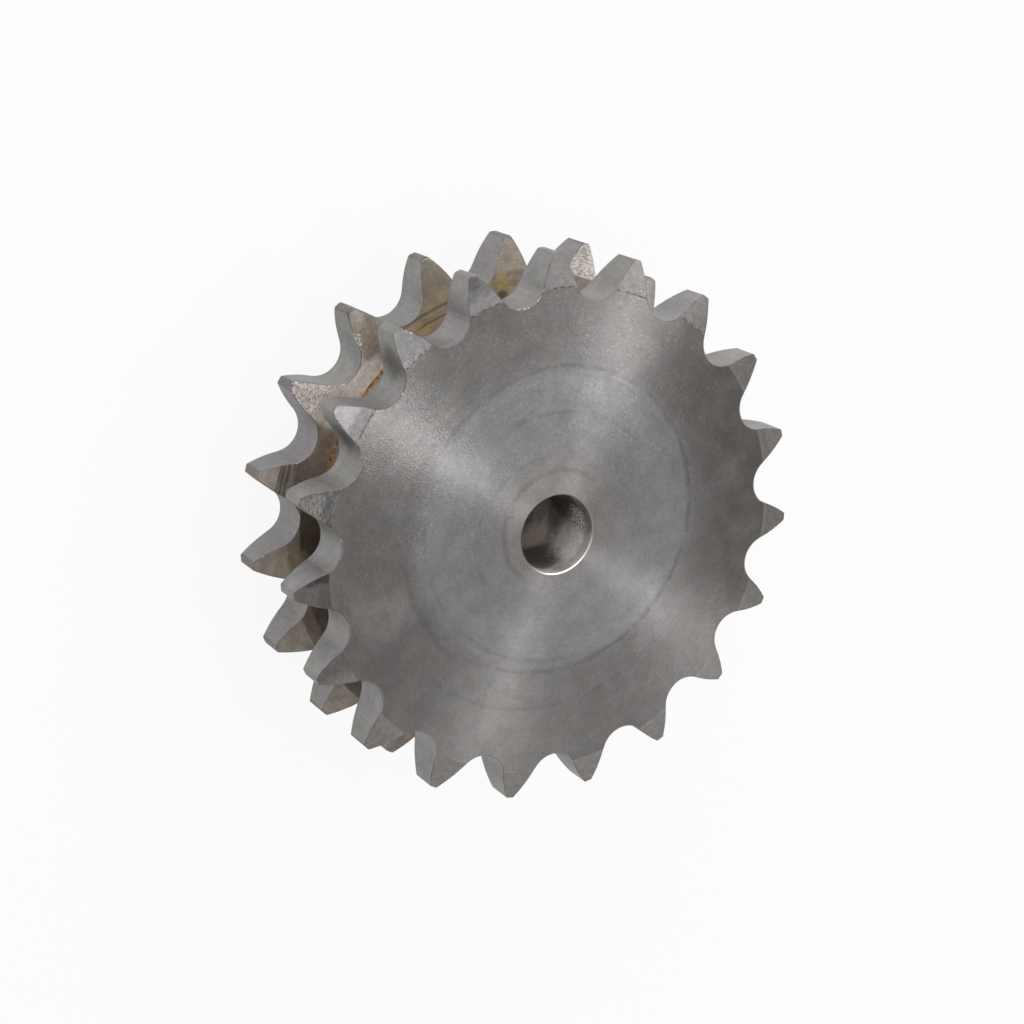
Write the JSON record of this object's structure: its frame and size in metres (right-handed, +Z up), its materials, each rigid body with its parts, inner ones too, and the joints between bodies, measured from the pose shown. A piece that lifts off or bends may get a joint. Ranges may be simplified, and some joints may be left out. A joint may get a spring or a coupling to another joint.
{
  "type": "roller chain sprocket",
  "caption": "Double-row roller chain sprocket with tapered teeth, a groove between the rows, a plain pilot bore and a short hub on one side.",
  "frame": {"origin": "on the bore's axis, at the hub's end face, where the sprocket rests", "axes": "+Z up the bore, from the hub's end face to the plain face of the upper row; +X through the middle of one tooth of each row"},
  "size_m": [0.2068, 0.2076, 0.08],
  "materials": {
    "steel": "bare turned and hobbed steel with faint tool marks, oil stains and specks of rust"
  },
  "bodies": {
    "root": {"sprocket": "steel"}
  },
  "joints": []
}
